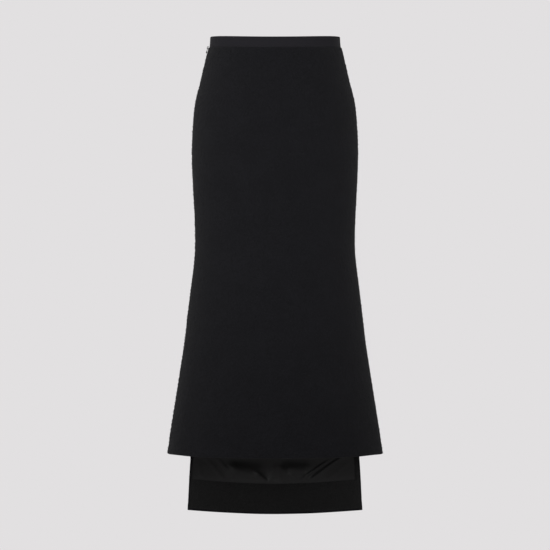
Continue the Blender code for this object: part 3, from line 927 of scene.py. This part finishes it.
def zip_pull_drop():
    mesh = bmesh.new()
    cast_drop(mesh)
    bar_and_arms(mesh)
    bmesh.ops.recalc_face_normals(mesh, faces=mesh.faces)
    mesh.transform(hinge_place())
    made = piece("pull_drop", mesh)
    made.data.shade_smooth()
    made.data.set_sharp_from_angle(angle=radians(SHARP_ANGLE))
    return made


pull = zip_pull_drop()

# %% [markdown]
# ## Stitches
# Fine stitching holds the ribbon along its lower edge, and a row of it holds each tape of the zip. A stitch
# is a short barrel of thread that dips into the cloth at both ends, so a squashed ball of few faces serves.

# %% Sew rows of stitches
FLATTER = 2.6
BAND_STITCH, BAND_THREAD, BAND_PITCH, BAND_STITCH_UP, BAND_STITCH_OUT = 2.3, 0.42, 3.0, 1.7, 0.02
BAND_FIRST, BAND_LAST = -88.5, 268.5
TAPE_STITCH, TAPE_THREAD, TAPE_BESIDE, TAPE_ENDS, TAPE_STITCH_IN = 2.0, 0.4, 5.4, 2.0, 0.72


def sew(name, spots, length, thread):
    """spots are (point, direction, outward); all in one mesh."""
    mesh = bmesh.new()
    for point, way, out in spots:
        way = way.normalized()
        third = way.cross(out).normalized()
        out = third.cross(way)
        turned = Matrix((way, third, out)).transposed().to_4x4()
        turned.translation = point
        size = Matrix.Diagonal((length / 2, thread / 2, thread / FLATTER, 1.0))
        bmesh.ops.create_icosphere(mesh, subdivisions=1, radius=MM, matrix=turned @ size)
    for face in mesh.faces:
        face.smooth = True
    return piece(name, mesh)


def band_stitches():
    spots = []
    turn = BAND_FIRST
    while turn < BAND_LAST:
        drop = BAND_HALF_HEIGHT - BAND_STITCH_UP
        dip = waist_dip(turn, 0.0)
        inset = BAND_INSET - ribbon_ease(turn) - BAND_STITCH_OUT
        here = skin(turn, drop + dip, inset)
        there = skin(turn + 0.4, drop + dip, inset)
        spots.append((here, there - here, Vector((here.x, here.y, 0.0)).normalized()))
        turn += BAND_PITCH * turn_per_mm(turn, drop)
    return sew("band_stitches", spots, BAND_STITCH, BAND_THREAD)


def tape_stitches():
    spots = []
    for beside in (-TAPE_BESIDE, TAPE_BESIDE):
        for drop in steps(ZIP_TOP + TAPE_ENDS, ZIP_FOOT - TAPE_ENDS, 64):
            turn = -section(round(drop, 2), "seam")
            turn += beside * turn_per_mm(turn, drop)
            here = place_on_cloth(turn, drop, TAPE_INSET + TAPE_STITCH_IN)
            there = place_on_cloth(turn, drop + 1.0, TAPE_INSET + TAPE_STITCH_IN)
            spots.append((here, there - here, Vector((-here.x, -here.y, 0.0)).normalized()))
    return sew("tape_stitches", spots, TAPE_STITCH, TAPE_THREAD)


band_thread = band_stitches()
tape_thread = tape_stitches()

# %% [markdown]
# ## Materials
# Each material starts from the Principled shader. What is the same all over is set on its sockets: how rough
# the cloth is and how much soft sheen its fibres give at a glancing angle. What varies comes from textures in
# the object's own space or in its UV, so that the weave stays where it is on the cloth. Every finish here
# ends in the same two ways, a texture that shades the colour and a texture that bumps the surface.

# %% A helper for materials
class Finish:
    """A material with one Principled shader, and short ways to add nodes and links to it."""

    def __init__(self, name, colour, roughness, sheen, sheen_roughness=0.4, metallic=0.0, specular=0.5):
        self.material = bpy.data.materials.new(name)
        self.material.use_nodes = True
        self.tree = self.material.node_tree
        self.shader = self.tree.nodes["Principled BSDF"]
        self.shader.inputs["Base Color"].default_value = (*colour, 1.0)
        self.shader.inputs["Roughness"].default_value = roughness
        self.shader.inputs["Metallic"].default_value = metallic
        self.shader.inputs["Specular IOR Level"].default_value = specular
        self.shader.inputs["Sheen Weight"].default_value = sheen
        self.shader.inputs["Sheen Roughness"].default_value = sheen_roughness
        print("material", name)

    def own_space(self):
        return self.tree.nodes.new("ShaderNodeTexCoord").outputs["Object"]

    def cloth_map(self):
        node = self.tree.nodes.new("ShaderNodeUVMap")
        node.uv_map = "cloth"
        return node.outputs["UV"]

    def texture(self, kind, place, result, **values):
        """A texture at a place, with its sockets set; gives the socket of its result."""
        node = self.tree.nodes.new("ShaderNodeTex" + kind)
        self.tree.links.new(place, node.inputs["Vector"])
        for socket, value in values.items():
            node.inputs[socket].default_value = value
        return node.outputs[result]

    def math(self, operation, *terms):
        """A sum or a product of sockets and plain numbers."""
        node = self.tree.nodes.new("ShaderNodeMath")
        node.operation = operation
        for socket, term in zip(node.inputs, terms):
            if isinstance(term, float):
                socket.default_value = term
            else:
                self.tree.links.new(term, socket)
        return node.outputs[0]

    def shade(self, source, dark, light, low, high):
        """Colour the surface from dark to light, as the source goes from low to high."""
        ramp = self.tree.nodes.new("ShaderNodeValToRGB")
        for element, position, colour in zip(ramp.color_ramp.elements, (low, high), (dark, light)):
            element.position = position
            element.color = (*colour, 1.0)
        self.tree.links.new(source, ramp.inputs["Fac"])
        self.tree.links.new(ramp.outputs["Color"], self.shader.inputs["Base Color"])

    def bump(self, source, strength, height):
        """Let the light fall on the surface as if the source raised it by height metres."""
        node = self.tree.nodes.new("ShaderNodeBump")
        node.inputs["Strength"].default_value = strength
        node.inputs["Distance"].default_value = height
        self.tree.links.new(source, node.inputs["Height"])
        self.tree.links.new(node.outputs["Normal"], self.shader.inputs["Normal"])

# %% [markdown]
# Black bouclé is never quite black. Here the colour is painted lighter on the tops of the curls and darker in
# the pits between them: a painted highlight and painted shade. A fine cell texture gives the curls, a small
# noise the fibres on them, and a large soft noise the uneven dye, which is the cloth's own random tone. The
# same curls drive the bump. The turned-up facing inside shows the same cloth a little flatter.

# %% Bouclé
CURLS, FIBRES, DYE = 410.0, 1500.0, 26.0
DYE_SHARE, CURL_FALL, CURL_RELIEF = 0.2, -1.1, 0.0009


def boucle(name, dark, light, sheen, bump):
    finish = Finish(name, light, roughness=0.95, sheen=sheen, sheen_roughness=0.55, specular=0.05)
    place = finish.own_space()
    curls = finish.texture("Voronoi", place, "Distance", Scale=CURLS, Randomness=1.0)
    fibres = finish.texture("Noise", place, "Fac", Scale=FIBRES, Detail=4.0, Roughness=0.6)
    dye = finish.texture("Noise", place, "Fac", Scale=DYE, Detail=3.0)
    tops = finish.math("MULTIPLY_ADD", curls, CURL_FALL, 1.0)
    mixed = finish.math("MULTIPLY", tops, fibres)
    # painted highlight on the curl tops and painted shade in the pits, with the dye's random tone over them
    finish.shade(finish.math("MULTIPLY_ADD", dye, DYE_SHARE, mixed), dark, light, low=0.25, high=0.75)
    finish.bump(finish.math("ADD", tops, fibres), bump, CURL_RELIEF)
    return finish.material


# dark is the painted shade of the pits, light the painted highlight of the curl tops
outside = boucle(
    "black_boucle",
    dark=(0.0031, 0.0031, 0.0037),
    light=(0.0078, 0.0078, 0.0094),
    sheen=0.016,
    bump=0.75,
)
inside = boucle(
    "boucle_turned_up",
    dark=(0.0034, 0.0034, 0.0034),
    light=(0.0083, 0.0083, 0.0083),
    sheen=0.05,
    bump=0.6,
)

# %% [markdown]
# Grosgrain is a ribbon with crosswise ribs about a millimetre apart. A wave texture in the ribbon's own UV
# gives them, with a little noise so that they aren't ruled lines. The same texture bumps the surface and sets
# the colour, so the grooves between the ribs get painted shade and their crests a painted highlight, and the
# noise adds a random tone. It is smoother than the bouclé and lighter. The twill of the zip's tape and the
# weave of satin are the same ribs, run aslant. On satin they hardly show, and its low roughness makes it
# shine.

# %% Ribbon, satin and tape
THREADS, THREAD_SHARE, RIB_WANDER, RIB_RELIEF = 2400.0, 0.5, 0.25, 0.0003
RIB_PAINTED_SHADE_AND_HIGHLIGHT = (0.72, 1.15)


def ribbed(name, colour, rib, roughness, sheen, bump, direction, specular):
    """A woven finish; rib is the distance in metres from one rib to the next."""
    finish = Finish(name, colour, roughness, sheen, sheen_roughness=0.35, specular=specular)
    place = finish.cloth_map()
    ribs = finish.texture("Wave", place, "Fac", Scale=pi / (10.0 * rib), Distortion=RIB_WANDER)
    ribs.node.bands_direction = direction
    threads = finish.texture("Noise", place, "Fac", Scale=THREADS, Detail=3.0)
    mixed = finish.math("MULTIPLY_ADD", threads, THREAD_SHARE, ribs)
    # painted shade in the rib grooves and a painted highlight on the crests, the thread noise a random tone
    dark, light = (tuple(share * v for v in colour) for share in RIB_PAINTED_SHADE_AND_HIGHLIGHT)
    finish.shade(mixed, dark, light, low=0.2, high=1.2)
    finish.bump(mixed, bump, RIB_RELIEF)
    return finish.material


grosgrain = ribbed(
    "black_grosgrain",
    colour=(0.0067, 0.0064, 0.0078),
    rib=0.0011,
    roughness=0.85,
    sheen=0.012,
    bump=0.4,
    direction="X",
    specular=0.06,
)
tape_weave = ribbed(
    "zip_tape_weave",
    colour=(0.006, 0.006, 0.006),
    rib=0.0014,
    roughness=0.75,
    sheen=0.02,
    bump=0.4,
    direction="DIAGONAL",
    specular=0.1,
)
satin_cloth = ribbed(
    "lining_satin",
    colour=(0.0084, 0.0084, 0.0084),
    rib=0.0010,
    roughness=0.40,
    sheen=0.0,
    bump=0.10,
    direction="DIAGONAL",
    specular=0.075,
)

# %% [markdown]
# The zip's metal is lacquered black and worn a little where fingers rub it, so one noise both lightens it in
# spots and dents it very slightly. The coil and the threads are plain nylon and polyester, and the loops are
# the bouclé's own yarn. A fine noise stands for the twist of each.

# %% Metal, nylon and thread
FINE_RELIEF = 0.0001
YARN_SHADES = (0.6, 1.3)


def lacquer():
    black = (0.012, 0.012, 0.013)
    finish = Finish("black_lacquered_zip", black, roughness=0.42, sheen=0.0, metallic=0.2, specular=0.3)
    rubbed = finish.texture("Noise", finish.own_space(), "Fac", Scale=900.0, Detail=5.0, Roughness=0.65)
    finish.shade(rubbed, (0.009, 0.009, 0.010), (0.036, 0.035, 0.034), low=0.5, high=0.85)
    finish.bump(rubbed, 0.15, FINE_RELIEF)
    return finish.material


def yarn(name, colour, roughness, twist, specular):
    """A thread; twist is the scale of the noise on it."""
    finish = Finish(name, colour, roughness, sheen=0.02, specular=specular)
    fine = finish.texture("Noise", finish.own_space(), "Fac", Scale=twist, Detail=3.0)
    dark, light = (tuple(share * v for v in colour) for share in YARN_SHADES)
    finish.shade(fine, dark, light, low=0.3, high=0.7)
    finish.bump(fine, 0.3, FINE_RELIEF)
    return finish.material


metal = lacquer()
loop_yarn = yarn("boucle_yarn", (0.0068, 0.0068, 0.0076), roughness=0.9, twist=2600.0, specular=0.05)
thread = yarn("sewing_thread", (0.0080, 0.0080, 0.0085), roughness=0.6, twist=3500.0, specular=0.15)
nylon = yarn("zip_nylon", (0.0070, 0.0070, 0.0075), roughness=0.4, twist=1800.0, specular=0.25)

# %% [markdown]
# ## Put the pieces on the skirt
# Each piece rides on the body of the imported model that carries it, takes the place of its plain solid, and
# names the finish it has. Only the pull moves, so only the pull rides on a body of its own. The slider keeps
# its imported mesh, because that already has the true shape, and gets the metal's material.

# %% Ride and replace
def dress(made, material, nodes=(), body="skirt"):
    made.data.materials.clear()
    made.data.materials.append(material)
    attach(made, body)
    if nodes:
        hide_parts(*nodes)
    print(made.name, "of", material.name, "rides on", body)


dress(front_cloth, outside, ["front_panel"])
dress(back_cloth, outside, ["back_panel"])
dress(front_loops, loop_yarn)
dress(back_loops, loop_yarn)
dress(ribbon, grosgrain, ["waistband"])
dress(lining, satin_cloth, ["lining_back"])
dress(facing, inside, ["tail_facing"])
dress(tape, tape_weave, ["zip_tape"])
dress(coil, nylon)
dress(band_thread, thread)
dress(tape_thread, thread)
dress(pull, metal, ["zip_pull"], body="pull")

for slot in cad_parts["zip_slider"].material_slots:
    slot.material = metal

# %% [markdown]
# The pieces that are cloth are printed by name.

print("sheets:", ", ".join(made.name for made in (front_cloth, back_cloth, lining, facing, ribbon, tape)))

# %% [markdown]
# ## Surround and floor
# The skirt is seen against a plain pale surround, which also lights it evenly from all sides. A pale floor
# below it sends light up under the hem, so that the folds of the satin show.

# %% Pale surround and floor
SURROUND = (0.7605, 0.7454, 0.7529)
FLOOR_DROP, FLOOR_RADIUS, FLOOR_SIDES = 1.30, 2.4, 96
FLOOR_COLOUR, FLOOR_ROUGHNESS = (0.80, 0.79, 0.795), 0.8

world = bpy.data.worlds.new("pale_surround")
world.use_nodes = True
world.node_tree.nodes["Background"].inputs["Color"].default_value = (*SURROUND, 1.0)
world.node_tree.nodes["Background"].inputs["Strength"].default_value = 1.0
bpy.context.scene.world = world

floor_mesh = bmesh.new()
level = Matrix.Translation((0, 0, -FLOOR_DROP))
bmesh.ops.create_circle(floor_mesh, cap_ends=True, segments=FLOOR_SIDES, radius=FLOOR_RADIUS, matrix=level)
floor = piece("floor", floor_mesh)
floor.data.materials.append(Finish("pale_floor", FLOOR_COLOUR, FLOOR_ROUGHNESS, sheen=0.0).material)

# %% [markdown]
# ## Lamps
# Soft, square lamps are large beside the skirt, so they leave no hard shadow on the cloth. One in front has a
# narrow spread: it brightens the hips and lets the tone fall towards the hem. Another in front stands to the
# left, and lamps at both sides lift the edges, the left one more.

# %% Soft lamps
def lamp(name, place, aim, size, power, spread=180):
    """A square soft lamp that looks at a point; a small spread keeps its light together."""
    data = bpy.data.lights.new(name, "AREA")
    data.shape = "SQUARE"
    data.size = size
    data.energy = power
    data.spread = radians(spread)
    made = into_scene(name, data)
    made.location = place
    made.rotation_euler = (Vector(aim) - Vector(place)).to_track_quat("-Z", "Y").to_euler()
    print(name, power, "W from", place)


lamp("hip_lamp", place=(0, -2.6, 0.1), aim=(0, 0, -0.2), size=1.2, power=5.9, spread=30)
lamp("front_lamp", place=(-1.4, -1.8, 0.4), aim=(0, 0, -0.3), size=1.0, power=9.1)
lamp("left_lamp", place=(-1.8, 0.1, 0.5), aim=(0, 0, -0.1), size=1.0, power=14.0)
lamp("right_lamp", place=(2.0, -0.3, 0.0), aim=(0, 0, -0.3), size=1.0, power=1.0)

# %% [markdown]
# ## The camera
# The camera stands five metres away, level, at half the skirt's height, so the hems curve only a little. The
# lens follows from the distance and from the width that the picture shows. The photo's own rows of pixels
# say how far the waist is above the picture's middle. The Standard view keeps black cloth as dark as it is.

# %% The camera
DISTANCE, SENSOR = 5.0, 36.0
PHOTO_WIDTH, PIXEL = 550, 0.002
WAIST_ROW, MIDDLE_ROW = 42.6, 275.0

camera = bpy.data.cameras.new("camera")
camera.sensor_width = SENSOR
camera.lens = SENSOR * DISTANCE / (PHOTO_WIDTH * PIXEL)
eye = into_scene("camera", camera)
eye.location = (0.0, -DISTANCE, (WAIST_ROW - MIDDLE_ROW) * PIXEL)
eye.rotation_euler = (pi / 2, 0.0, 0.0)
bpy.context.scene.camera = eye
bpy.context.scene.view_settings.view_transform = "Standard"
print("lens", round(camera.lens, 1), "mm")
